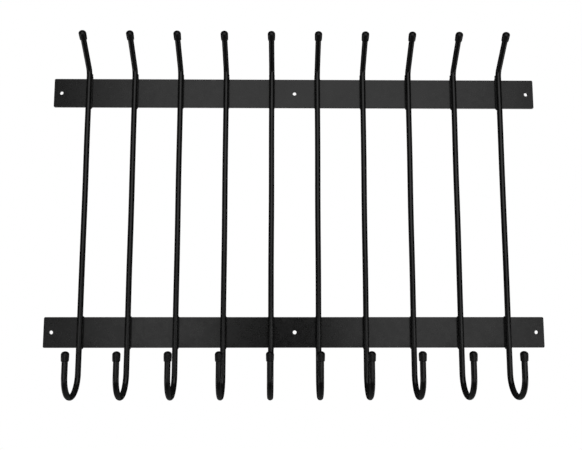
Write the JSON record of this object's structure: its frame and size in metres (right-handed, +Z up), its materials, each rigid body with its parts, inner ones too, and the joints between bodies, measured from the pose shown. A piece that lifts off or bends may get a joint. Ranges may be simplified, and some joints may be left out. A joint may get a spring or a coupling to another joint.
{
  "type": "garden tool rack",
  "caption": "Wall-hung welded steel rack: two flat bars carry upright round rods, each with a forward-leaning peg on top and a J-hook below, to hold long-handled garden tools.",
  "frame": {"origin": "axis of the upper bar's middle screw hole, on the wall plane", "axes": "+X to the right along the bars, seen from the front, +Y into the wall, +Z up along the rods"},
  "size_m": [0.8382, 0.086, 0.6098],
  "materials": {
    "bar_coat": "satin black powder coat on flat steel bar",
    "rod_coat": "satin black powder coat on round steel rod",
    "weld_coat": "satin black powder coat over a weld bead",
    "cap_vinyl": "smooth black soft vinyl"
  },
  "bodies": {
    "root": {"upper_bar": "bar_coat", "lower_bar": "bar_coat", "rod_01": "rod_coat", "rod_02": "rod_coat", "rod_03": "rod_coat", "rod_04": "rod_coat", "rod_05": "rod_coat", "rod_06": "rod_coat", "rod_07": "rod_coat", "rod_08": "rod_coat", "rod_09": "rod_coat", "rod_10": "rod_coat", "weld_upper_01": "weld_coat", "weld_upper_02": "weld_coat", "weld_upper_03": "weld_coat", "weld_upper_04": "weld_coat", "weld_upper_05": "weld_coat", "weld_upper_06": "weld_coat", "weld_upper_07": "weld_coat", "weld_upper_08": "weld_coat", "weld_upper_09": "weld_coat", "weld_upper_10": "weld_coat", "weld_lower_01": "weld_coat", "weld_lower_02": "weld_coat", "weld_lower_03": "weld_coat", "weld_lower_04": "weld_coat", "weld_lower_05": "weld_coat", "weld_lower_06": "weld_coat", "weld_lower_07": "weld_coat", "weld_lower_08": "weld_coat", "weld_lower_09": "weld_coat", "weld_lower_10": "weld_coat", "peg_cap_01": "cap_vinyl", "peg_cap_02": "cap_vinyl", "peg_cap_03": "cap_vinyl", "peg_cap_04": "cap_vinyl", "peg_cap_05": "cap_vinyl", "peg_cap_06": "cap_vinyl", "peg_cap_07": "cap_vinyl", "peg_cap_08": "cap_vinyl", "peg_cap_09": "cap_vinyl", "peg_cap_10": "cap_vinyl", "hook_cap_01": "cap_vinyl", "hook_cap_02": "cap_vinyl", "hook_cap_03": "cap_vinyl", "hook_cap_04": "cap_vinyl", "hook_cap_05": "cap_vinyl", "hook_cap_06": "cap_vinyl", "hook_cap_07": "cap_vinyl", "hook_cap_08": "cap_vinyl", "hook_cap_09": "cap_vinyl", "hook_cap_10": "cap_vinyl"}
  },
  "joints": []
}
